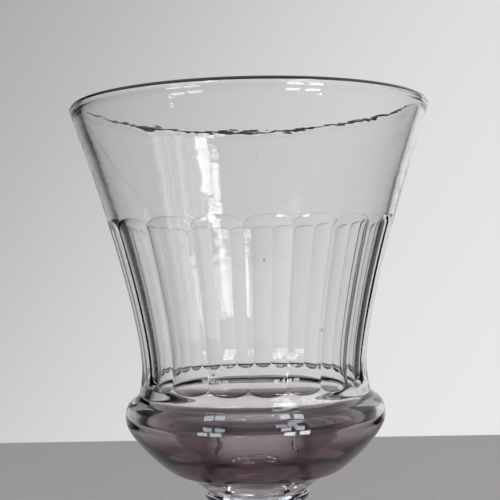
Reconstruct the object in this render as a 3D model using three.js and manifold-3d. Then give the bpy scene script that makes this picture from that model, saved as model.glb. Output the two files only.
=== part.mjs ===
// Footed candy jar in heavy clear glass: a bell-shaped bowl with flat-cut flutes and a bulging
// base, on a rounded collar, a waisted stem and a spreading round foot.
// Millimetres, +Z up. The origin is the middle of the foot, on the table.
import * as THREE from "three";
import { mergeVertices } from "three/addons/utils/BufferGeometryUtils.js";
import Module from "manifold-3d";

const wasm = await Module();
wasm.setup();

// Overall sizes
const overallHeight = 205; // table to the top of the lip
const bowlHeight = 149.5; // underside of the bowl to the top of the lip
const rimRadius = 70; // widest point of the lip

// Outer shape of the bowl before the flutes are cut. Rises are measured from its underside.
const seatRadius = 20.4; // flat underside, fused to the collar
const cupRadius = 33.9; // where the shallow underside turns up into the bulge
const cupRise = 8;
const cupSlope = 17; // degrees, slope of the underside at that point
const bulgeRadius = 51;
const bulgeRise = 28.6;
const bulgeUndercut = 6.6; // how far the upright stretch carries on below the widest point
const shoulderRadius = 46.8; // where the bulge turns into the hollow of the waist
const shoulderRise = 36;
const waistRadius = 44.2;
const waistRise = 48;
const bellStart = 15.2; // length of the nearly straight stretch above the waist
const bellLean = 14.9; // radius gained over the last stretch of the flare
const bellReach = 41.9; // length of that last stretch

// Glass thickness, measured level
const lipWall = 4.2;
const throatWall = 4;
const throatReach = 6; // how far the upright throat carries on below the waist
const bulgeWall = 7;
const hollowRise = 29; // where the inside is widest, in the bulge
const floorThickness = 2.7;
const floorFlat = 19.4; // how far the inside floor stays nearly level
const floorTurn = 0.7; // rise of the inside floor over that stretch
const hollowUndercut = 5.4; // how far the upright stretch carries on below the widest point

// Flat-cut flutes
const fluteCount = 19;
const fluteTurn = -5.6; // degrees from the front to the first ridge
const fluteDrift = 2.8; // degrees by which the hand-marked spacing wanders, twice round
const driftTurn = 30; // degrees, where that wander is greatest
const ridgeDepth = 0.15; // the ridges stand this far below the uncut surface
const fluteTop = 44.2; // below the top of the lip
const fluteTopRun = 4.8; // length over which the wheel leaves the glass at the top
const fluteFootRise = 41.3; // lowest point of the flutes, above the bowl's underside
const fluteFootRun = 4.8; // length over which the wheel leaves the glass at the foot

// Collar, stem and foot
const collarRadius = 20.7;
const collarHeight = 7.5;
const collarShoulder = 2.4; // how far below its top the collar is widest
const stemTopRadius = 13.5;
const stemNeckRadius = 11;
const stemNeckShare = 0.6; // height of the neck, as a share of the stem
const stemBaseRadius = 17;
const footRadius = 48;
const footHeight = 15;
const footEdge = 5; // thickness at the edge
const footStandWidth = 7; // flat ring that meets the table
const footHollow = 3.5; // depth of the hollow under the foot
const pontilRadius = 10; // ground and polished mark in the middle of the hollow
const pontilDepth = 0.8;

// Fineness
const bowlSegments = fluteCount * 3;
const roundSegments = 48;
const bowlSteps = 7;
const roundSteps = 5;
const panelSteps = 16;

const stemHeight = overallHeight - bowlHeight - collarHeight - footHeight;
const degree = Math.PI / 180;

const glass = (name, colour) =>
  new THREE.MeshStandardMaterial({ name, color: colour, roughness: 0.03, metalness: 0 });
const bowlGlass = glass("clear_glass", 0xe6e9e8);
const stemGlass = glass("base_glass", 0xded9df);

// A closed outline in the plane of radius and height, turned about +Z.
function turned(points, segments) {
  const geometry = new THREE.LatheGeometry(points, segments);
  geometry.rotateX(Math.PI / 2);
  return geometry;
}

function solidOf(geometry) {
  const bare = geometry.clone();
  for (const name of Object.keys(bare.attributes)) {
    if (name !== "position") bare.deleteAttribute(name);
  }
  const merged = mergeVertices(bare, 1e-4);
  return new wasm.Manifold(
    new wasm.Mesh({
      numProp: 3,
      vertProperties: merged.attributes.position.array,
      triVerts: new Uint32Array(merged.index.array),
    }),
  );
}

function geometryOf(solid) {
  const mesh = solid.getMesh();
  const geometry = new THREE.BufferGeometry();
  geometry.setAttribute("position", new THREE.BufferAttribute(mesh.vertProperties, mesh.numProp));
  geometry.setIndex(new THREE.BufferAttribute(mesh.triVerts, 1));
  geometry.computeVertexNormals();
  return geometry;
}

// The outside of the bowl as blown: seat, cup, bulge, waist and bell, up to the round of the lip.
function bowlSide() {
  const lipRise = bowlHeight - lipWall / 2;
  const slope = new THREE.Vector2(Math.cos(cupSlope * degree), Math.sin(cupSlope * degree));
  const turn = new THREE.Vector2(cupRadius, cupRise);
  const before = turn.clone().addScaledVector(slope, -0.55 * (cupRadius - seatRadius));
  const after = turn.clone().addScaledVector(slope, 0.12 * (bulgeRadius - cupRadius));
  const side = new THREE.Path();
  side.moveTo(seatRadius, 0);
  side.bezierCurveTo(seatRadius + 0.5, 0.4, before.x, before.y, turn.x, turn.y);
  side.bezierCurveTo(
    after.x, after.y,
    bulgeRadius, bulgeRise - bulgeUndercut,
    bulgeRadius, bulgeRise,
  );
  side.bezierCurveTo(
    bulgeRadius, bulgeRise + 0.58 * (shoulderRise - bulgeRise),
    shoulderRadius + 0.68 * (bulgeRadius - shoulderRadius), shoulderRise - 1,
    shoulderRadius, shoulderRise,
  );
  side.bezierCurveTo(
    waistRadius + 0.38 * (shoulderRadius - waistRadius), shoulderRise + 0.6,
    waistRadius, waistRise - 5,
    waistRadius, waistRise,
  );
  side.bezierCurveTo(
    waistRadius, waistRise + bellStart,
    rimRadius - bellLean, lipRise - bellReach,
    rimRadius, lipRise,
  );
  return side;
}

const sidePoints = bowlSide().getPoints(bowlSteps);

// Radius of the uncut bowl at a height above its underside.
function sideRadius(rise) {
  const above = Math.max(1, sidePoints.findIndex((point) => point.y >= rise));
  const low = sidePoints[above - 1];
  const high = sidePoints[above];
  const share = (rise - low.y) / (high.y - low.y);
  return low.x + share * (high.x - low.x);
}

// The blank: the outside turned solid, with the round of the lip on top.
function bowlBlank() {
  const lipRadius = lipWall / 2;
  const lip = new THREE.Path();
  lip.absarc(rimRadius - lipRadius, bowlHeight - lipRadius, lipRadius, 0, Math.PI / 2);
  const outline = [
    new THREE.Vector2(0, 0),
    ...sidePoints,
    ...lip.getPoints(4).slice(1),
    new THREE.Vector2(0, bowlHeight),
  ];
  return solidOf(turned(outline, bowlSegments));
}

// The inside: floor, bulge, throat and bell, each one wall inside the outside, and the inner
// half of the lip's round.
function bowlCavity() {
  const lipRadius = lipWall / 2;
  const lipCentre = rimRadius - lipRadius;
  const lipRise = bowlHeight - lipRadius;
  const bulgeInside = bulgeRadius - bulgeWall;
  const throatInside = waistRadius - throatWall;
  const throatRise = waistRise - throatReach;
  const inside = new THREE.Path();
  inside.moveTo(0, floorThickness);
  inside.bezierCurveTo(
    floorFlat, floorThickness + floorTurn,
    bulgeInside, hollowRise - hollowUndercut,
    bulgeInside, hollowRise,
  );
  inside.bezierCurveTo(
    bulgeInside, hollowRise + 5,
    throatInside, throatRise - 4,
    throatInside, throatRise,
  );
  inside.lineTo(throatInside, waistRise - 1.5);
  inside.bezierCurveTo(
    throatInside, waistRise + bellStart,
    rimRadius - lipWall - bellLean, lipRise - bellReach,
    rimRadius - lipWall, lipRise,
  );
  const lip = new THREE.Path();
  lip.absarc(lipCentre, lipRise, lipRadius, Math.PI, Math.PI / 2, true);
  const overrun = 1; // the cutting shape carries on above the lip
  const outline = [
    ...inside.getPoints(bowlSteps),
    ...lip.getPoints(4).slice(1),
    new THREE.Vector2(lipCentre, bowlHeight + overrun),
    new THREE.Vector2(0, bowlHeight + overrun),
  ];
  return solidOf(turned(outline, bowlSegments));
}

// Angle of a ridge between two flutes, measured from the front.
function ridgeAngle(index) {
  const even = fluteTurn + (360 * index) / fluteCount;
  return (even + fluteDrift * Math.cos((2 * even + driftTurn) * degree)) * degree;
}

// How deep the wheel is at a rise, as a share of the full depth: an arc in at the foot and an
// arc out at the top.
function wheelShare(rise) {
  const fromTop = (bowlHeight - fluteTop - rise) / fluteTopRun;
  const fromFoot = (rise - fluteFootRise) / fluteFootRun;
  const near = Math.min(fromTop, fromFoot, 1);
  return near < 0 ? 2 * near : 1 - (1 - near) ** 2;
}

// What the wheel takes away for one flute. The cut is flat across, so it is one outline in
// the plane of radius and height, extruded level. Two neighbours meet in a ridge.
function fluteCutter(index) {
  const left = ridgeAngle(index);
  const right = ridgeAngle(index + 1);
  const halfTurn = (right - left) / 2;
  const overrun = 0.35;
  const low = fluteFootRise - overrun;
  const high = bowlHeight - fluteTop + overrun;
  const outside = rimRadius;
  const outline = new THREE.Shape();
  for (let step = 0; step <= panelSteps; step += 1) {
    const spread = step / panelSteps;
    // steps crowd towards both ends, where the wheel's path curves
    const rise = low + (high - low) * (0.5 - 0.5 * Math.cos(Math.PI * spread)) ** 0.9;
    const blank = sideRadius(rise);
    const fullDepth = blank - (blank - ridgeDepth) * Math.cos(halfTurn);
    const flat = blank - fullDepth * wheelShare(rise);
    if (step === 0) outline.moveTo(flat, rise);
    else outline.lineTo(flat, rise);
  }
  outline.lineTo(outside, high);
  outline.lineTo(outside, low);
  const width = 2.6 * waistRadius * halfTurn + 2;
  const slab = new THREE.ExtrudeGeometry(outline, { depth: width, bevelEnabled: false });
  slab.translate(0, 0, -width / 2);
  slab.rotateX(Math.PI / 2);
  slab.rotateZ((left + right) / 2 - Math.PI / 2);
  return solidOf(slab);
}

function bowl() {
  let solid = bowlBlank().subtract(bowlCavity());
  for (let index = 0; index < fluteCount; index += 1) {
    solid = solid.subtract(fluteCutter(index));
  }
  return new THREE.Mesh(geometryOf(solid), bowlGlass);
}

// A ring of glass under the bowl, widest near its top and rounded in to the stem.
function collar() {
  const widest = collarHeight - collarShoulder;
  const outline = new THREE.Path();
  outline.moveTo(0, 0);
  outline.lineTo(stemTopRadius, 0);
  outline.bezierCurveTo(
    stemTopRadius + 1.5, 0.6,
    collarRadius, 0.35 * widest,
    collarRadius, widest,
  );
  outline.bezierCurveTo(
    collarRadius, collarHeight - 1,
    seatRadius, collarHeight - 0.6,
    seatRadius - 0.3, collarHeight,
  );
  outline.lineTo(0, collarHeight);
  return new THREE.Mesh(turned(outline.getPoints(roundSteps), roundSegments), stemGlass);
}

// A spool: narrowest at the neck and spreading to the foot.
function stem() {
  const neckRise = stemHeight * stemNeckShare;
  const side = new THREE.Path();
  side.moveTo(stemBaseRadius, 0);
  side.bezierCurveTo(
    stemBaseRadius - 3.6, 0.25 * neckRise,
    stemNeckRadius, 0.5 * neckRise,
    stemNeckRadius, neckRise,
  );
  side.bezierCurveTo(
    stemNeckRadius, neckRise + 0.5 * (stemHeight - neckRise),
    stemTopRadius, stemHeight - 0.35 * (stemHeight - neckRise),
    stemTopRadius, stemHeight,
  );
  const outline = [
    new THREE.Vector2(0, 0),
    ...side.getPoints(roundSteps),
    new THREE.Vector2(0, stemHeight),
  ];
  return new THREE.Mesh(turned(outline, roundSegments), stemGlass);
}

// A round foot: a rounded edge, a top that climbs to the stem, and a hollow underside with the
// polished mark where the working rod was broken off.
function foot() {
  const edge = footEdge / 2;
  const hollowRadius = footRadius - edge - footStandWidth;
  const outline = new THREE.Path();
  outline.moveTo(0, footHollow + pontilDepth);
  outline.quadraticCurveTo(
    0.6 * pontilRadius, footHollow + pontilDepth,
    pontilRadius, footHollow,
  );
  outline.bezierCurveTo(
    pontilRadius + 0.5 * (hollowRadius - pontilRadius), footHollow,
    hollowRadius - 4, 0.5,
    hollowRadius, 0,
  );
  outline.lineTo(footRadius - edge, 0);
  outline.absarc(footRadius - edge, edge, edge, -Math.PI / 2, Math.PI / 3);
  outline.bezierCurveTo(
    footRadius - 0.3 * footRadius, footEdge + 1.6,
    stemBaseRadius + 7, footHeight - 5,
    stemBaseRadius, footHeight,
  );
  outline.lineTo(0, footHeight);
  return new THREE.Mesh(turned(outline.getPoints(roundSteps), roundSegments), stemGlass);
}

const jar = new THREE.Group();
let level = 0;
for (const [name, mesh, height] of [
  ["foot", foot(), footHeight],
  ["stem", stem(), stemHeight],
  ["collar", collar(), collarHeight],
  ["bowl", bowl(), bowlHeight],
]) {
  mesh.name = name;
  mesh.position.z = level;
  level += height;
  jar.add(mesh);
}

export default jar;
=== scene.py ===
# %% [markdown]
# # A footed candy jar in cut glass
#
# The jar is heavy clear glass: a bell-shaped bowl with a belt of flat-cut flutes and a bulging
# base, on a ring of glass, a waisted stem and a round foot. Clear glass is nearly all light
# that went through something else, so three things make the picture: true wall thicknesses,
# cuts that are really flat, and something to see behind and around the jar.

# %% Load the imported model
import bpy
import math
import numpy as np
from mathutils import Matrix, Vector


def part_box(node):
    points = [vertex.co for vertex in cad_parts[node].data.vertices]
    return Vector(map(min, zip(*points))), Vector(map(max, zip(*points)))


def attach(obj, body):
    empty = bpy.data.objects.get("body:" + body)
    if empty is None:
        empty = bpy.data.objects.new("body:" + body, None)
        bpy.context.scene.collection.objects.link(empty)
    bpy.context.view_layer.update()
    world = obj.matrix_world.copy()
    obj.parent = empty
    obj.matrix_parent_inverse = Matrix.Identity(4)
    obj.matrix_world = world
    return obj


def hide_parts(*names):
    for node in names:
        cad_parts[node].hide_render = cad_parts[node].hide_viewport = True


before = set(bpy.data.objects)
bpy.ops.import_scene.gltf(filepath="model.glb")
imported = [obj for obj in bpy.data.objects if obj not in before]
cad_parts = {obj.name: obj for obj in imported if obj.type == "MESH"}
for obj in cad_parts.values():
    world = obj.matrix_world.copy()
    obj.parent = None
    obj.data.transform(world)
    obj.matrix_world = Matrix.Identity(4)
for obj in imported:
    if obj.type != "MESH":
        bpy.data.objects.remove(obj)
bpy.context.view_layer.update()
MM = 0.001
print("packed nodes:", ", ".join(sorted(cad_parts)))

# %% [markdown]
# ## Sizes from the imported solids
#
# Everything is worked out from the solids' own boxes, so that the glass lands exactly where
# the solids are. Lengths are in millimetres until a mesh is made.


# %% Measure the four solids
def node_sizes(node):
    """Returns a node's lowest point, highest point and greatest radius, in millimetres."""
    low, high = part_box(node)
    return low[2] / MM, high[2] / MM, max(high[0], high[1], -low[0], -low[1]) / MM


FOOT_LOW, FOOT_TOP, FOOT_RADIUS = node_sizes("foot")
STEM_LOW, STEM_TOP, STEM_RADIUS = node_sizes("stem")
COLLAR_LOW, COLLAR_TOP, COLLAR_RADIUS = node_sizes("collar")
SEAT, RIM, RIM_RADIUS = node_sizes("bowl")
print(f"bowl {SEAT:.1f} to {RIM:.1f} mm, lip radius {RIM_RADIUS:.1f} mm, on a foot from"
      f" {FOOT_LOW:.1f} mm")

# %% [markdown]
# ## The camera
#
# The photograph is taken level with the middle of the bell, so it looks up at the lip and down
# into the base. The two ellipses of the lip give the distance and the length of the lens, and
# the jar leans a little to the left in the frame, which is a turn of the camera.

# %% Place the camera
CAMERA_BELOW_RIM = 57.0
CAMERA_DISTANCE = 374.7
CAMERA_ASIDE = -0.74
CAMERA_ROLL = math.radians(1.29)
FOCAL_PIXELS = 946
PICTURE_PIXELS = 500
SHIFT_PIXELS = 1.5
SENSOR = 36
NEAREST_SEEN = 10

camera = bpy.data.objects.new("camera", bpy.data.cameras.new("camera"))
camera.data.sensor_width = SENSOR
camera.data.lens = FOCAL_PIXELS * SENSOR / PICTURE_PIXELS
camera.data.shift_y = SHIFT_PIXELS / PICTURE_PIXELS
camera.data.clip_start = NEAREST_SEEN * MM
camera.location = Vector((CAMERA_ASIDE, -CAMERA_DISTANCE, RIM - CAMERA_BELOW_RIM)) * MM
camera.rotation_euler = (math.pi / 2, 0, 0)
camera.rotation_euler.rotate(Matrix.Rotation(CAMERA_ROLL, 3, "Y"))
bpy.context.collection.objects.link(camera)
bpy.context.scene.camera = camera
print(f"lens {camera.data.lens:.1f} mm")

# %% [markdown]
# ## Surfaces as grids of points
#
# A turned or cut wall is a grid: rows run round the jar and columns run up it. Each row is a
# closed ring, and the first and the last row close on one point on the axis. The same few
# lines then make every piece of glass here.


# %% Make a closed skin from a grid
def skin(name, radii, turns, heights, fused=()):
    """Makes a closed mesh from rows of rings.

    A point is (radius * sin(turn), -radius * cos(turn), height), so turn 0 is the front. The
    three arrays have one row for each ring and one column for each turn. The first and last
    ring lie on the axis and become one point each. Rows of faces named in fused get the
    second slot.
    """
    rows, columns = radii.shape
    points = np.stack([radii * np.sin(turns), -radii * np.cos(turns), heights], axis=-1) * MM
    inner = points[1:-1].reshape(-1, 3)
    pole = points[[0, -1], 0]
    pole[:, :2] = 0
    row, column = np.meshgrid(np.arange(rows - 3), np.arange(columns), indexing="ij")
    beside = (column + 1) % columns
    quads = np.stack(
        [
            row * columns + column,
            row * columns + beside,
            (row + 1) * columns + beside,
            (row + 1) * columns + column,
        ],
        axis=-1,
    ).reshape(-1, 4)
    ring = np.arange(columns)
    after = (ring + 1) % columns
    last = (rows - 3) * columns
    start_point, end_point = len(inner), len(inner) + 1
    start = np.stack([np.full(columns, start_point), after, ring], axis=-1)
    end = np.stack([np.full(columns, end_point), last + ring, last + after], axis=-1)
    mesh = bpy.data.meshes.new(name)
    faces = quads.tolist() + start.tolist() + end.tolist()
    mesh.from_pydata(np.vstack([inner, pole]).tolist(), [], faces)
    mesh.polygons.foreach_set("use_smooth", np.ones(len(faces), dtype=bool))
    slots = np.zeros(len(faces), dtype=np.int32)
    face_rows = np.concatenate([row.ravel() + 1, np.zeros(columns), np.full(columns, rows - 2)])
    slots[np.isin(face_rows, list(fused))] = 1
    mesh.polygons.foreach_set("material_index", slots)
    mesh.validate()
    piece = bpy.data.objects.new(name, mesh)
    bpy.context.collection.objects.link(piece)
    print(f"{name}: {len(inner) + 2} points, {len(faces)} faces")
    return piece


def curve(start, handle, second, end, count):
    """A cubic curve as rows of (radius, height): the four points weighted by the cubes and
    products of the share gone and the share left. The start point itself is left out."""
    share = np.linspace(0, 1, count + 1)[1:, None]
    left = 1 - share
    points = [np.array(point, dtype=float) for point in (start, handle, second, end)]
    weights = [left**3, 3 * left**2 * share, 3 * left * share**2, share**3]
    return sum(weight * point for weight, point in zip(weights, points))


def arc(centre, radius, first, last, count):
    """Rows of (radius, height) on a circle round a centre, from one angle to another, in
    degrees. The start point itself is left out."""
    angle = np.radians(np.linspace(first, last, count + 1)[1:])
    return np.array(centre) + radius * np.stack([np.cos(angle), np.sin(angle)], axis=-1)


# %% [markdown]
# ## The bowl as it was blown
#
# The profile is measured from the photograph's outline: a flat seat, a shallow cup that turns
# up into the bulge, a hollow waist, and a bell that flares to the lip. It is written as five
# curves with handles, the same as in the solid, because a smooth curve refracts cleanly where
# a row of measured points would ripple. The bell's handles serve its inside as well: one
# stands straight above the waist, the other lies inward of the lip and below it.

# %% Draw the outside of the bowl
SEAT_RADIUS = 20.4
CUP_EDGE = (33.9, 8.0)
BULGE = (51.0, 28.6)
SHOULDER = (46.8, 36.0)
WAIST = (44.2, 48.0)
LIP_WALL = 4.2
HEIGHT = RIM - SEAT
LIP_CENTRE = (RIM_RADIUS - LIP_WALL / 2, HEIGHT - LIP_WALL / 2)
CUP_STEPS, BULGE_STEPS, SHOULDER_STEPS, WAIST_STEPS, BELL_STEPS = 60, 120, 60, 60, 300
WAIST_HANDLE_RISE = 63.2
LIP_HANDLE_IN = 14.9
LIP_HANDLE_RISE = HEIGHT - 44.0

outside = np.vstack(
    [
        [(SEAT_RADIUS, 0.0)],
        curve((SEAT_RADIUS, 0), (20.9, 0.4), (26.8, 5.8), CUP_EDGE, CUP_STEPS),
        curve(CUP_EDGE, (35.9, 8.6), (BULGE[0], 22.0), BULGE, BULGE_STEPS),
        curve(BULGE, (BULGE[0], 32.9), (49.65, 35.0), SHOULDER, SHOULDER_STEPS),
        curve(SHOULDER, (45.2, 36.6), (WAIST[0], 43.0), WAIST, WAIST_STEPS),
        curve(WAIST, (WAIST[0], WAIST_HANDLE_RISE),
              (RIM_RADIUS - LIP_HANDLE_IN, LIP_HANDLE_RISE), (RIM_RADIUS, LIP_CENTRE[1]),
              BELL_STEPS),
    ]
)


def blank_radius(rise):
    """The uncut radius at a rise above the seat, read off the profile by straight lines
    between its many points."""
    return np.interp(rise, outside[:, 1], outside[:, 0])


print(f"waist radius {blank_radius(WAIST[1]):.1f} mm, bulge radius {blank_radius(BULGE[1]):.1f} mm")

# %% [markdown]
# ## The flutes
#
# Each flute is ground flat on a wheel: straight across, following the bell's curve upwards, and
# running out in an arch at the top and a scallop at the foot. The spacing was marked by hand,
# so it drifts. Two flats meet in a ridge just under the old surface. The columns of the grid
# crowd at the ridges, and its rows follow the arches, so that both come out crisp.

# %% Lay out the flutes round the bowl
FLUTES = 19
FIRST_RIDGE = -5.6
DRIFT = 2.8
DRIFT_START = 30
RIDGE_DEPTH = 0.03
FLUTE_TOP = HEIGHT - 44.2
FLUTE_FOOT = 41.3
TOP_RUN = 7.0
FOOT_RUN = 5.3
RUN_POWER = 4
RIDGE_SHARES = np.array([0, 0.02, 0.045, 0.09])
MIDDLE_SHARES = np.linspace(0.14, 0.86, 9)


def ridge_turn(number):
    """The turn of a ridge: even spacing plus a slow drift, twice round the jar."""
    even = FIRST_RIDGE + 360 * number / FLUTES
    return np.radians(even + DRIFT * np.cos(np.radians(2 * even + DRIFT_START)))


across = np.concatenate([RIDGE_SHARES, MIDDLE_SHARES, 1 - RIDGE_SHARES[:0:-1]])
flute = np.repeat(np.arange(FLUTES), len(across))
left_ridge, right_ridge = ridge_turn(flute), ridge_turn(flute + 1)
turn = left_ridge + np.tile(across, FLUTES) * (right_ridge - left_ridge)
half = (right_ridge - left_ridge) / 2
off_middle = turn - left_ridge - half
print(f"{FLUTES} flutes, {len(turn)} columns, widths {np.degrees(2 * half.min()):.1f} to"
      f" {np.degrees(2 * half.max()):.1f} degrees")


# %% Cut the flats
def wheel_share(rise):
    """How deep the wheel is, from 0 to 1: steep at the edge and then ever gentler, as one
    minus a power of the share of the run that is left."""
    near = np.minimum((FLUTE_TOP - rise) / TOP_RUN, (rise - FLUTE_FOOT) / FOOT_RUN)
    near = np.clip(near, 0, 1)
    return 1 - (1 - near) ** RUN_POWER


def flat_radius(rise):
    """Radius of the flat: its distance from the axis over the cosine of the turn from its
    middle. At full depth the flat passes through both ridges."""
    blank = blank_radius(rise)
    full = (blank - RIDGE_DEPTH) * np.cos(half)
    return (blank - wheel_share(rise) * (blank - full)) / np.cos(off_middle)


def cut_edge(end, run, sign):
    """The rise at which the flat meets the uncut surface, column by column: the wheel's share
    there is the round surface's bulge over the flat's depth, and the run gives the rise."""
    blank = blank_radius(end)
    depth = blank - (blank - RIDGE_DEPTH) * np.cos(half)
    needed = np.clip(blank * (1 - np.cos(off_middle)) / depth, 0, 1)
    return end + sign * run * (1 - (1 - needed) ** (1 / RUN_POWER))


arch = cut_edge(FLUTE_TOP, TOP_RUN, -1)
scallop = cut_edge(FLUTE_FOOT, FOOT_RUN, 1)
print(f"arches {np.ptp(arch):.1f} mm high, scallops {np.ptp(scallop):.1f} mm")

# %% [markdown]
# ## The wall of the bowl
#
# The skin runs from the middle of the seat up the outside, over the lip, down the inside and
# across the floor. Up to the shoulder its rings are every fourth point of the profile. From
# there they turn from level to the line of the scallops, follow the scallops and the arches,
# with a few close together on both sides of each edge, and are level again above the arches.

# %% Lay the rings of the outside
BELOW_CUTS = 37.6
ABOVE_CUTS = FLUTE_TOP + 3.2
CLOSE, BESIDE, PANEL_MARGIN = 0.07, 0.22, 0.5
PROFILE_STEP, LOWER_RINGS, PANEL_RINGS, UPPER_RINGS, BAND_RINGS = 4, 6, 58, 5, 34


def level(rise):
    """A level ring of the blank at a rise."""
    return np.full(len(turn), float(rise))


def between(low, high, shares):
    """Rings at the given shares of the way from one ring to another."""
    return [low + (high - low) * share for share in shares]


shoulder_point = CUP_STEPS + BULGE_STEPS + SHOULDER_STEPS
slow_ends = np.sin(np.linspace(-np.pi / 2, np.pi / 2, PANEL_RINGS)) / 2 + 0.5
rises = [level(rise) for rise in outside[1:shoulder_point:PROFILE_STEP, 1]]
rises += between(level(BELOW_CUTS), scallop - BESIDE, np.linspace(0, 1, LOWER_RINGS))
rises += [scallop - CLOSE, scallop + CLOSE, scallop + BESIDE]
rises += between(scallop + PANEL_MARGIN, arch - PANEL_MARGIN, slow_ends)
rises += [arch - BESIDE, arch - CLOSE, arch + CLOSE]
rises += between(arch + BESIDE, level(ABOVE_CUTS), np.linspace(0, 1, UPPER_RINGS))
rises += [level(rise) for rise in np.linspace(ABOVE_CUTS, LIP_CENTRE[1], BAND_RINGS)[1:]]
rises = np.array(rises)
cut = (rises > scallop) & (rises < arch)
outer = blank_radius(rises)
outer = np.where(cut, np.minimum(flat_radius(rises), outer), outer)
print(f"{len(rises)} rings outside")

# %% Draw the lip and the inside
THROAT_RADIUS = WAIST[0] - 4.0
THROAT_TOP = 46.5
THROAT_FOOT = WAIST[1] - 6.0
HOLLOW = (BULGE[0] - 7.0, 29.0)
FLOOR = 2.7
LIP_STEPS = 36

inside = np.vstack(
    [
        arc(LIP_CENTRE, LIP_WALL / 2, 0, 180, LIP_STEPS),
        curve((RIM_RADIUS - LIP_WALL, LIP_CENTRE[1]),
              (RIM_RADIUS - LIP_WALL - LIP_HANDLE_IN, LIP_HANDLE_RISE),
              (THROAT_RADIUS, WAIST_HANDLE_RISE), (THROAT_RADIUS, THROAT_TOP), 52),
        [(THROAT_RADIUS, rise) for rise in (THROAT_TOP - 1.5, THROAT_TOP - 3, THROAT_FOOT)],
        curve((THROAT_RADIUS, THROAT_FOOT), (THROAT_RADIUS, THROAT_FOOT - 4),
              (HOLLOW[0], HOLLOW[1] + 5), HOLLOW, 26),
        curve(HOLLOW, (HOLLOW[0], HOLLOW[1] - 5.4), (19.4, FLOOR + 0.7), (1.0, FLOOR), 38),
    ]
)
print(f"{len(inside)} rings over the lip and inside")

# %% [markdown]
# Blown glass is never even: the wall swells and thins by a few hundredths of a millimetre,
# which bends what is seen through it. Both faces get such a slow, small wander, the inside
# more than the outside, and it dies away at the lip and the floor.

# %% Build the bowl
WANDER = 0.05
OUTSIDE_WANDER_SHARE = 0.35
STILL_FLOOR, STILL_LIP_OUTSIDE, STILL_LIP_INSIDE = 6, 2, 4
SLOW_RUN = 20
DISC_RING = 0.97


def grow(values, run):
    """From 0 to 1 while the values go from 0 to the run, and level before and after."""
    return np.clip(values / run, 0, 1)


def wander(turns, rises):
    """A slow unevenness: a sum of waves round and up the jar, with fixed odd phases, the
    quicker ones weaker."""
    total = np.zeros(turns.shape)
    for number in range(1, 7):
        phase = 1.7 + number * 2.3
        wave = np.sin(number * turns + phase + rises / (9 + 3 * number))
        total += wave * np.cos(rises * (0.05 + 0.021 * number) + phase) / number
    return WANDER * total


def turned(column):
    """Carries one number for each ring all the way round."""
    return np.repeat(np.asarray(column, dtype=float)[:, None], len(turn), axis=1)


seat_rings = np.array([0, 0.5, DISC_RING, 0.995, 1]) * SEAT_RADIUS
radii = np.vstack([turned(seat_rings), outer, turned(inside[:, 0]), turned([0])])
heights = np.vstack([turned(0 * seat_rings), rises, turned(inside[:, 1]), turned([FLOOR])])
turns = np.tile(turn, (len(radii), 1))

outer_rows = slice(len(seat_rings), len(seat_rings) + len(rises))
first_inside = outer_rows.stop + LIP_STEPS
below_lip = HEIGHT - heights
fade = grow(heights - STILL_FLOOR, SLOW_RUN)
fade[:first_inside] *= grow(below_lip[:first_inside] - STILL_LIP_OUTSIDE, SLOW_RUN)
fade[:first_inside] *= OUTSIDE_WANDER_SHARE
fade[first_inside:] *= grow(below_lip[first_inside:] - STILL_LIP_INSIDE, SLOW_RUN)
radii += fade * wander(turns, heights) * (radii > 1)
bowl = skin("bowl_glass", radii, turns, heights + SEAT, fused=range(len(seat_rings) - 1))

# %% [markdown]
# ## Collar, stem and foot
#
# These were gathered hot and pressed onto each other, so no joint is seen between them: the
# glass runs through. Each piece stays its own closed body, and the discs where two bodies
# meet get a see-through slot, so light crosses them as if the glass were one. A ring just
# inside each disc's edge keeps the edge's rounded shading off the disc.

# %% Turn the collar and the stem
ROUND_COLUMNS = 160
STEM_HEAD = 13.5
STEM_NECK = 11.0
NECK_RISE = STEM_LOW + 0.6 * (STEM_TOP - STEM_LOW)
COLLAR_WIDEST = COLLAR_TOP - 2.4


def turned_piece(name, profile, joined_below=True):
    """Carries a profile of (radius, height) rows round the axis in equal steps of turn. The
    last two rows of faces are the disc under the next piece, and the first two, where the
    piece is joined below, the disc on the piece before it. Both are fused."""
    profile = np.array(profile)
    angle = np.linspace(0, 2 * np.pi, ROUND_COLUMNS, endpoint=False)
    radii = np.repeat(profile[:, :1], ROUND_COLUMNS, axis=1)
    heights = np.repeat(profile[:, 1:], ROUND_COLUMNS, axis=1)
    last = len(profile) - 2
    fused = (0, 1, last - 1, last) if joined_below else (last - 1, last)
    return skin(name, radii, np.tile(angle, (len(profile), 1)), heights, fused)


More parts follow.
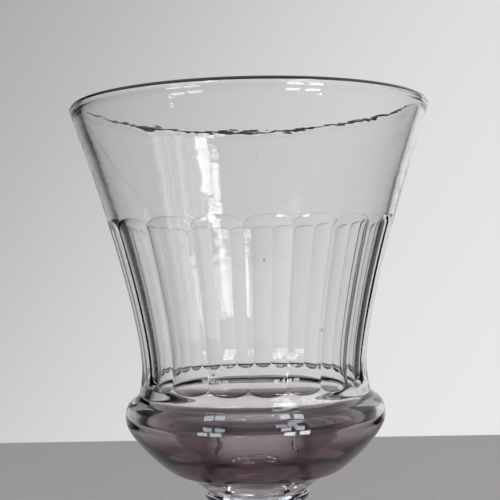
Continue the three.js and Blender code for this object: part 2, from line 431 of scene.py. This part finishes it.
collar = turned_piece(
    "collar_glass",
    np.vstack(
        [
            [(0, COLLAR_LOW), (DISC_RING * STEM_HEAD, COLLAR_LOW), (STEM_HEAD, COLLAR_LOW)],
            curve((STEM_HEAD, COLLAR_LOW), (STEM_HEAD + 1.5, COLLAR_LOW + 0.6),
                  (COLLAR_RADIUS, COLLAR_LOW + 1.8), (COLLAR_RADIUS, COLLAR_WIDEST), 24),
            curve((COLLAR_RADIUS, COLLAR_WIDEST), (COLLAR_RADIUS, COLLAR_TOP - 1),
                  (SEAT_RADIUS, COLLAR_TOP - 0.6), (SEAT_RADIUS, COLLAR_TOP), 14),
            [(DISC_RING * SEAT_RADIUS, COLLAR_TOP), (0, COLLAR_TOP)],
        ]
    ),
)
stem = turned_piece(
    "stem_glass",
    np.vstack(
        [
            [(0, STEM_LOW), (DISC_RING * STEM_RADIUS, STEM_LOW), (STEM_RADIUS, STEM_LOW)],
            curve((STEM_RADIUS, STEM_LOW), (STEM_RADIUS - 3.6, STEM_LOW + 5),
                  (STEM_NECK, STEM_LOW + 10), (STEM_NECK, NECK_RISE), 30),
            curve((STEM_NECK, NECK_RISE), (STEM_NECK, NECK_RISE + 6.6),
                  (STEM_HEAD, STEM_TOP - 4.6), (STEM_HEAD, STEM_TOP), 24),
            [(DISC_RING * STEM_HEAD, STEM_TOP), (0, STEM_TOP)],
        ]
    ),
)

# %% [markdown]
# The foot stands on a flat ring. Inside the ring it is hollow, and in the middle the scar of
# the iron rod that held the hot glass is ground to a shallow round.

# %% Turn the foot
FOOT_EDGE = 2.5
STAND_OUTSIDE = FOOT_RADIUS - FOOT_EDGE
STAND_INSIDE = STAND_OUTSIDE - 7.0
HOLLOW_RISE = 3.5
SCAR_RISE = 4.3
SCAR_RADIUS = 10

foot = turned_piece(
    "foot_glass",
    np.vstack(
        [
            [(0, SCAR_RISE)],
            curve((0, SCAR_RISE), (4, SCAR_RISE), (8, 4.2), (SCAR_RADIUS, HOLLOW_RISE), 8),
            curve((SCAR_RADIUS, HOLLOW_RISE), (24.25, HOLLOW_RISE),
                  (STAND_INSIDE - 4, 0.5), (STAND_INSIDE, 0), 20),
            [(STAND_OUTSIDE, 0)],
            arc((STAND_OUTSIDE, FOOT_EDGE), FOOT_EDGE, -90, 60, 16),
            curve((STAND_OUTSIDE + 1.25, 4.67), (0.7 * FOOT_RADIUS, 6.6),
                  (STEM_RADIUS + 7, FOOT_TOP - 5), (STEM_RADIUS, FOOT_TOP), 34),
            [(DISC_RING * STEM_RADIUS, FOOT_TOP), (0, FOOT_TOP)],
        ]
    ),
    joined_below=False,
)

# %% [markdown]
# ## Marks on the bowl
#
# The glass's material reads two numbers from each point of the bowl. One says how strong the
# fine level ripples of blown glass are there: full in the plain band, much weaker on the flats,
# where the wheel took them off, and strong inside the far wall, where they break up the lip's
# line. The other is painted shade, a near-black tint on what real glass bends so much light
# away from that it looks black: the lip's outer and inner edge, the foot of each flute and,
# faintly, the edge of each arch. On the lip it goes by the angle round the edge, from 0 outside
# over 90 on top to 180 inside.

# %% Mark the ripples
BAND_RIPPLES, FLAT_RIPPLES, LOWER_RIPPLES = 1.0, 0.08, 0.3
LIP_RIPPLES, STILL_LIP, STILL_LIP_RUN = 0.2, 3, 6
INSIDE_RIPPLES_HIGH, INSIDE_RIPPLES_LOW = 0.12, 0.03
BEHIND_TURN = math.radians(200)
BEHIND_REACH = 0.35
BEHIND_RISE = 55


def mark_points(name, values):
    """Stores one number for each point of the bowl, its two poles last."""
    layer = bowl.data.attributes.new(name, "FLOAT", "POINT")
    layer.data.foreach_set("value", np.append(values[1:-1].ravel(), [0, 0]).astype(np.float32))


behind = (1 + BEHIND_REACH) * np.cos(turns - BEHIND_TURN) - BEHIND_REACH
rippled = np.where(heights > FLUTE_TOP, INSIDE_RIPPLES_HIGH, INSIDE_RIPPLES_LOW)
rippled += np.clip(behind, 0, 1) * grow(heights - BEHIND_RISE, SLOW_RUN)
rippled[outer_rows] = np.where(rises > arch, BAND_RIPPLES,
                               np.where(cut, FLAT_RIPPLES, LOWER_RIPPLES))
rippled[outer_rows] *= np.clip((HEIGHT - STILL_LIP - rises) / STILL_LIP_RUN, LIP_RIPPLES, 1)
mark_points("rippled", rippled)
print(f"{(rippled > 0.9).sum()} points in the rippled band")

# %% Mark the painted shade on the dark edges
# Painted shade: where on the lip it lies, and how dark and wide it is at the flutes' feet and the
# arches.
LIP_OUTSIDE, LIP_INSIDE = (15, 5, 100, 10), (88, 10, 148, 10)
LIP_INSIDE_PAINTED_SHADE = 0.88
SCALLOP_PAINTED_SHADE, SCALLOP_WIDTH, SCALLOP_RUN = 0.65, 0.9, 0.6
ARCH_PAINTED_SHADE, ARCH_WIDTH = 0.12, 0.25


def band(values, first, first_run, last, last_run):
    """From 0 up to 1 in a run that starts at the first value, and down to 0 in a run that
    ends at the last."""
    return grow(values - first, first_run) * grow(last - values, last_run)


# Painted shade bands: the colour is darkened near black where real glass looks black.
lip_angle = np.linspace(0, 180, LIP_STEPS + 1)[1:]
lip_shade_band = band(lip_angle, *LIP_OUTSIDE) + LIP_INSIDE_PAINTED_SHADE * band(lip_angle, *LIP_INSIDE)
scallop_shade_band = grow(scallop + SCALLOP_WIDTH - rises, SCALLOP_RUN) * (rises > scallop)
arch_shade_band = (rises > arch - ARCH_WIDTH) & (rises < arch)
painted_dark_edge = np.zeros(radii.shape)
painted_dark_edge[outer_rows.stop:first_inside] = lip_shade_band[:, None]
painted_dark_edge[outer_rows] = np.maximum(SCALLOP_PAINTED_SHADE * scallop_shade_band, ARCH_PAINTED_SHADE * arch_shade_band)
mark_points("painted_dark_edge", painted_dark_edge)
print(f"{(painted_dark_edge > 0).sum()} points on dark edges")

# %% [markdown]
# ## The glass
#
# Old clear glass shows next to no colour in a thin wall. The base is a smoky mauve, darker
# towards its bottom. It is a see-through shader with glass's own bending of light, and its
# colour follows the height of the jar. On the bowl the colour also carries painted shade, near
# black, on the lip's edges, the foot of each flute and the edge of each arch. Seeds and
# scratches in the outer face are small domes, both dark and raised. Shadow rays pass straight
# through, so the floor is lit through the jar as it would be by a real one.


# %% Write the parts of the glass material
def arithmetic(nodes, links, operation, *values):
    """One step of arithmetic. Numbers are set on its node and other outputs are linked."""
    step = nodes.new("ShaderNodeMath")
    step.operation = operation
    for socket, value in zip(step.inputs, values):
        if isinstance(value, (int, float)):
            socket.default_value = value
        else:
            links.new(value, socket)
    return step.outputs["Value"]


def share_between(nodes, links, source, low, high):
    """How far the source is from low to high, from 0 to 1."""
    spread = nodes.new("ShaderNodeMapRange")
    spread.inputs["From Min"].default_value = low
    spread.inputs["From Max"].default_value = high
    links.new(source, spread.inputs["Value"])
    return spread.outputs["Result"]


def follow(nodes, links, source, stops, kind="LINEAR"):
    """A colour that follows stops of (value, colour) while the source goes through them."""
    low, high = stops[0][0], stops[-1][0]
    tint = nodes.new("ShaderNodeValToRGB")
    tint.color_ramp.interpolation = kind
    elements = tint.color_ramp.elements
    for number, (value, colour) in enumerate(stops):
        where = (value - low) / (high - low)
        element = elements[number] if number < 2 else elements.new(where)
        element.position = where
        element.color = (*colour, 1)
    links.new(share_between(nodes, links, source, low, high), tint.inputs["Fac"])
    return tint.outputs["Color"]


def read_mark(nodes, name):
    """The number that the mesh's points carry under a name."""
    mark = nodes.new("ShaderNodeAttribute")
    mark.attribute_name = name
    return mark.outputs["Fac"]


MARK_SHADE = 0.6
# Near black: the colour of the painted shade on the bowl's edges and of the real seeds and
# scratches.
PAINTED_SHADE_AND_MARK_COLOUR = (0.0006, 0.0006, 0.0008)


def painted_shade_and_mark_tint(nodes, links, tint, marks):
    """Turns the colour near black by the painted shade stored on the bowl's dark edges, plus a
    share of the small marks.
    """
    dark = arithmetic(nodes, links, "MULTIPLY_ADD", marks, MARK_SHADE,
                      read_mark(nodes, "painted_dark_edge"))
    mix = nodes.new("ShaderNodeMix")
    mix.data_type = "RGBA"
    mix.inputs[7].default_value = (*PAINTED_SHADE_AND_MARK_COLOUR, 1)
    links.new(dark, mix.inputs["Factor"])
    links.new(tint, mix.inputs[6])
    return mix.outputs[2]


RIPPLE_NOISES = [(60, 1.0, 1.0), (220, 0.2, 0.15)]


def ripples(nodes, links, place, spacing, height, marks):
    """Level ripples: two noises in Object coordinates, added as a bump of the given height.
    RIPPLE_NOISES has for each how fast it changes round the jar, its share of the spacing up
    the jar, and its weight. On marked glass the mesh's mark weighs them, and the small marks
    are added."""
    waves = []
    for round_jar, share, weight in RIPPLE_NOISES:
        squeeze = nodes.new("ShaderNodeMapping")
        squeeze.inputs["Scale"].default_value = (round_jar, round_jar, 1 / (share * spacing))
        noise = nodes.new("ShaderNodeTexNoise")
        noise.inputs["Scale"].default_value = 1
        noise.inputs["Detail"].default_value = 1
        links.new(place, squeeze.inputs["Vector"])
        links.new(squeeze.outputs["Vector"], noise.inputs["Vector"])
        waves.append(arithmetic(nodes, links, "MULTIPLY", noise.outputs["Fac"], weight))
    source = arithmetic(nodes, links, "ADD", *waves)
    if marks:
        source = arithmetic(nodes, links, "MULTIPLY_ADD", source,
                            read_mark(nodes, "rippled"), marks)
    bump = nodes.new("ShaderNodeBump")
    bump.inputs["Strength"].default_value = 1
    bump.inputs["Distance"].default_value = height
    links.new(source, bump.inputs["Height"])
    return bump.outputs["Normal"]


# %% [markdown]
# The seeds and scratches are listed by turn in degrees, rise, half width, half height and
# depth, the last as a share of the ripples' height. They reach 2 mm into the wall, so that
# each lies on the outer face and not on the inner one.

# %% List and shape the seeds and scratches
MARK_REACH = 2.0
SMALL_MARKS = [
    (4.4, 89.5, 0.7, 1.2, 1.6),
    (1.9, 123.5, 0.16, 10.0, 0.25),
    (1.8, 125.3, 0.35, 0.5, 0.8),
    (1.8, 120.8, 0.3, 0.4, 0.8),
    (1.7, 116.9, 0.35, 0.5, 0.8),
    (6.9, 94.5, 0.25, 1.9, 0.6),
    (18.0, 94.0, 0.22, 1.6, 0.6),
    (31.6, 64.1, 0.5, 1.4, 0.9),
    (-19.5, 49.0, 0.8, 0.8, 1.2),
    (-34.3, 117.5, 0.4, 0.4, 0.9),
    (-7.1, 137.5, 0.35, 0.35, 0.9),
    (15.3, 126.8, 0.35, 0.35, 0.9),
    (25.7, 25.6, 0.6, 0.6, 1.2),
    (14.2, 25.1, 0.5, 0.5, 1.2),
]


def small_marks(nodes, links, place):
    """For each mark a dome that falls from its depth at the middle to nothing at its half
    width and half height. The highest of them counts."""
    highest = None
    for turn_degrees, rise, half_width, half_height, depth in SMALL_MARKS:
        around, out = math.radians(turn_degrees), blank_radius(rise) * MM
        away = nodes.new("ShaderNodeVectorMath")
        away.operation = "SUBTRACT"
        away.inputs[1].default_value = (
            out * math.sin(around), -out * math.cos(around), (SEAT + rise) * MM
        )
        scaled = nodes.new("ShaderNodeVectorMath")
        scaled.operation = "MULTIPLY"
        scaled.inputs[1].default_value = (
            1 / (half_width * MM), 1 / (MARK_REACH * MM), 1 / (half_height * MM)
        )
        length = nodes.new("ShaderNodeVectorMath")
        length.operation = "LENGTH"
        dome = nodes.new("ShaderNodeMapRange")
        dome.interpolation_type = "SMOOTHSTEP"
        dome.inputs["To Min"].default_value = depth
        dome.inputs["To Max"].default_value = 0
        links.new(place, away.inputs[0])
        links.new(away.outputs["Vector"], scaled.inputs[0])
        links.new(scaled.outputs["Vector"], length.inputs[0])
        links.new(length.outputs["Value"], dome.inputs["Value"])
        height = dome.outputs["Result"]
        if highest is not None:
            height = arithmetic(nodes, links, "MAXIMUM", highest, height)
        highest = height
    return highest


print(f"{len(SMALL_MARKS)} seeds and scratches")


# %% Write the glass and the joint material
def glass_material(name, stops, spacing, height, marked=False):
    """Clear glass with its colour by height, and ripples of a spacing and a height."""
    material = bpy.data.materials.new(name)
    material.use_nodes = True
    nodes, links = material.node_tree.nodes, material.node_tree.links
    shader = nodes["Principled BSDF"]
    shader.inputs["Roughness"].default_value = 0.0
    shader.inputs["IOR"].default_value = 1.5
    shader.inputs["Transmission Weight"].default_value = 1
    place = nodes.new("ShaderNodeTexCoord").outputs["Object"]
    split = nodes.new("ShaderNodeSeparateXYZ")
    links.new(place, split.inputs["Vector"])
    tint = follow(nodes, links, split.outputs["Z"], stops)
    marks = small_marks(nodes, links, place) if marked else None
    # The bowl's colour takes the painted shade of its dark edges and its darker seeds and
    # scratches.
    if marked:
        tint = painted_shade_and_mark_tint(nodes, links, tint, marks)
    links.new(tint, shader.inputs["Base Color"])
    links.new(ripples(nodes, links, place, spacing, height, marks), shader.inputs["Normal"])
    light_path = nodes.new("ShaderNodeLightPath")
    clear = nodes.new("ShaderNodeBsdfTransparent")
    links.new(tint, clear.inputs["Color"])
    either = nodes.new("ShaderNodeMixShader")
    links.new(light_path.outputs["Is Shadow Ray"], either.inputs["Fac"])
    links.new(shader.outputs["BSDF"], either.inputs[1])
    links.new(clear.outputs["BSDF"], either.inputs[2])
    links.new(either.outputs["Shader"], nodes["Material Output"].inputs["Surface"])
    return material


def joint_material():
    """The inside of a hot joint: nothing to see."""
    material = bpy.data.materials.new("fused_joint")
    material.use_nodes = True
    nodes, links = material.node_tree.nodes, material.node_tree.links
    nodes.remove(nodes["Principled BSDF"])
    clear = nodes.new("ShaderNodeBsdfTransparent")
    links.new(clear.outputs["BSDF"], nodes["Material Output"].inputs["Surface"])
    return material


# %% [markdown]
# From the seat up, the bowl's colour goes from the tint of the thick floor through a deep plum,
# in the lowest part of the base, to smoky and then clear glass at the shoulder. Below the bowl
# the glass is pale.

# %% Put the glass on the pieces
CLEAR = (0.958, 0.961, 0.963)
FLOOR_TINT = (0.70, 0.62, 0.655)
DEEP = (0.03, 0.01, 0.013)
PLUM = (0.13, 0.055, 0.07)
SMOKY = (0.78, 0.71, 0.745)
PALE = (0.90, 0.90, 0.925)
BOWL_TINTS = [(0, FLOOR_TINT), (5, FLOOR_TINT), (9, DEEP), (17, PLUM), (25, SMOKY),
              (33.5, CLEAR), (HEIGHT, CLEAR)]
BOWL_RIPPLES = (8 * MM, 0.14 * MM)
BASE_RIPPLES = (5 * MM, 0.02 * MM)

bowl_stops = [((SEAT + rise) * MM, tint) for rise, tint in BOWL_TINTS]
base_stops = [(0, PALE), (SEAT * MM, PALE)]
bowl_glass = glass_material("bowl_glass", bowl_stops, *BOWL_RIPPLES, marked=True)
base_glass = glass_material("base_glass", base_stops, *BASE_RIPPLES)
joint = joint_material()
for piece, glass, node, slot in (
    (bowl, bowl_glass, "bowl", "bowl_glass"),
    (collar, base_glass, "collar", "base_glass"),
    (stem, base_glass, "stem", "base_glass"),
    (foot, base_glass, "foot", "base_glass"),
):
    piece.data.materials.append(glass)
    piece.data.materials.append(joint)
    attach(piece, "root")
    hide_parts(node)
print("four pieces of glass ride on the root")

# %% [markdown]
# ## The floor
#
# The floor is a plain pale board. Its back edge runs a little aslant, as in the photograph, and
# the wall is seen above it. The sizes of the floor and the lights are in metres.

# %% Lay the floor
FLOOR_EDGE = 0.3725
EDGE_SLANT = -0.03
FLOOR_FRONT = -0.3
FLOOR_LEFT = -0.205
FLOOR_RIGHT = 0.215
FLOOR_COLOUR = (0.42, 0.39, 0.365)
FLOOR_ROUGHNESS = 0.7

floor_mesh = bpy.data.meshes.new("floor")
floor_mesh.from_pydata(
    [
        (FLOOR_LEFT, FLOOR_FRONT, 0),
        (FLOOR_RIGHT, FLOOR_FRONT, 0),
        (FLOOR_RIGHT, FLOOR_EDGE + EDGE_SLANT * FLOOR_RIGHT, 0),
        (FLOOR_LEFT, FLOOR_EDGE + EDGE_SLANT * FLOOR_LEFT, 0),
    ],
    [],
    [(0, 1, 2, 3)],
)
floor = bpy.data.objects.new("floor", floor_mesh)
bpy.context.collection.objects.link(floor)
floor_matt = bpy.data.materials.new("floor_matt")
floor_matt.use_nodes = True
floor_shader = floor_matt.node_tree.nodes["Principled BSDF"]
floor_shader.inputs["Base Color"].default_value = (*FLOOR_COLOUR, 1)
floor_shader.inputs["Roughness"].default_value = FLOOR_ROUGHNESS
floor_mesh.materials.append(floor_matt)
print("floor laid")

# %% [markdown]
# ## The room
#
# Clear glass shows the room around it. Behind the jar the room is a bright plain wall, paler to
# the right and falling off to the left. Past both sides of the picture and below the table's
# back edge the room is dark, which draws the dark lines of the cuts, and the ceiling is a pale
# cold grey. The room in front is dim. The wall's stops are places across the room, the
# direction's part to the right less 0.7 of its part upward, and how bright the wall is there.

# %% Paint the room
WALL = [(-1.3, 0.01), (-1.0, 0.015), (-0.8, 0.02), (-0.66, 0.03), (-0.6, 0.06), (-0.54, 0.2),
        (-0.48, 0.37), (-0.4, 0.43), (-0.25, 0.53), (-0.1, 0.65), (0.05, 0.73), (0.25, 0.79),
        (0.45, 0.83), (0.58, 0.8), (0.64, 0.5), (0.7, 0.12), (1.05, 0.03)]
WALL_SLANT = -0.7
FRONT = [(-1, 0.03), (-0.2, 0.05), (0.2, 0.08), (1, 0.3)]
FRONT_TO_WALL = (-0.3, 0.2)
UNDER_TABLE = (0.02, 0.02, 0.02)
TABLE_BACK = (-0.255, -0.205)
CEILING = (0.72, 0.77, 0.84)
CEILING_START = (0.45, 0.85)

world = bpy.data.worlds.new("room")
bpy.context.scene.world = world
world.use_nodes = True
room, wires = world.node_tree.nodes, world.node_tree.links
direction = room.new("ShaderNodeTexCoord")
parts = room.new("ShaderNodeSeparateXYZ")
wires.new(direction.outputs["Generated"], parts.inputs["Vector"])
right, back, up = parts.outputs


def greys(source, stops):
    """A grey that follows stops of (value, brightness) along a source, smoothly."""
    return follow(room, wires, source, [(value, (grey,) * 3) for value, grey in stops],
                  "B_SPLINE")


def blend(first, second, share):
    """Mixes two colours by a share. Each is three numbers or another node's output."""
    mix = room.new("ShaderNodeMix")
    mix.data_type = "RGBA"
    wires.new(share, mix.inputs["Factor"])
    for socket, colour in ((mix.inputs[6], first), (mix.inputs[7], second)):
        if isinstance(colour, tuple):
            socket.default_value = (*colour, 1)
        else:
            wires.new(colour, socket)
    return mix.outputs[2]


place = arithmetic(room, wires, "MULTIPLY_ADD", up, WALL_SLANT, right)
around = blend(greys(up, FRONT), greys(place, WALL),
               share_between(room, wires, back, *FRONT_TO_WALL))
around = blend(UNDER_TABLE, around, share_between(room, wires, up, *TABLE_BACK))
around = blend(around, CEILING, share_between(room, wires, up, *CEILING_START))
wires.new(around, room["Background"].inputs["Color"])
print("room painted")

# %% [markdown]
# ## The lights
#
# A tall window, in front on the right, and a pale curtain beside it give the long reflections
# and light the floor. The window has panes at uneven heights, as seen past furniture. Four
# small cold cards near the floor put the small bright reflections on the base.

# %% Light the jar
WINDOW_TURN, WINDOW_DISTANCE, WINDOW_STRENGTH = 38, 1.5, 6
PANES = [
    (-0.44, 0.27, 0.58, 0.46),
    (-0.16, 0.24, 0.58, 0.46),
    (-0.05, 0.34, 1.06, 0.22),
    (0.13, 0.26, 1.3, 0.28),
    (-0.12, 0.18, 1.3, 0.28),
    (0.18, 0.3, 1.6, 0.62),
]
CURTAIN_TURN, CURTAIN_BOTTOM, CURTAIN_HEIGHT = 70, 0.3, 1.9
FOLDS = [(-0.6, 0.17, 1.6), (-0.37, 0.24, 1.1), (-0.1, 0.22, 1.9), (0.16, 0.2, 1.2),
         (0.42, 0.24, 1.7)]
CARD_DISTANCE, CARD_BOTTOM, CARD_WIDTH, CARD_HEIGHT = 0.5, 0.005, 0.08, 0.075
CARD_COLOUR = (0.84, 0.92, 1.0)
CARDS = [(-38, -0.048, 9), (-38, 0.048, 9), (33.5, -0.06, 17), (33.5, 0.05, 17)]


def pane(name, azimuth, distance, aside, bottom, width, height, strength):
    """An upright bright pane, facing the jar. Azimuth is from the front to the right, aside is
    along the window to the right as seen from the jar, and strength is its brightness."""
    turn = math.radians(azimuth)
    out = Vector((math.sin(turn), -math.cos(turn), 0))
    along = Vector((math.cos(turn), math.sin(turn), 0))
    light = bpy.data.objects.new(name, bpy.data.lights.new(name, "AREA"))
    light.data.shape = "RECTANGLE"
    light.data.size, light.data.size_y = width, height
    light.data.energy = strength * math.pi * width * height
    light.location = out * distance + along * aside + Vector((0, 0, bottom + height / 2))
    light.rotation_euler = out.to_track_quat("Z", "Y").to_euler()
    bpy.context.collection.objects.link(light)
    return light


for number, (aside, width, bottom, height) in enumerate(PANES):
    pane(f"pane_{number}", WINDOW_TURN, WINDOW_DISTANCE, aside, bottom, width, height,
         WINDOW_STRENGTH)
for number, (aside, width, strength) in enumerate(FOLDS):
    pane(f"curtain_{number}", CURTAIN_TURN, WINDOW_DISTANCE, aside, CURTAIN_BOTTOM, width,
         CURTAIN_HEIGHT, strength)
for number, (azimuth, aside, strength) in enumerate(CARDS):
    card = pane(f"card_{number}", azimuth, CARD_DISTANCE, aside, CARD_BOTTOM, CARD_WIDTH,
                CARD_HEIGHT, strength)
    card.data.color = CARD_COLOUR
bpy.context.scene.view_settings.view_transform = "Standard"
print(f"{len(PANES) + len(FOLDS) + len(CARDS)} lights")
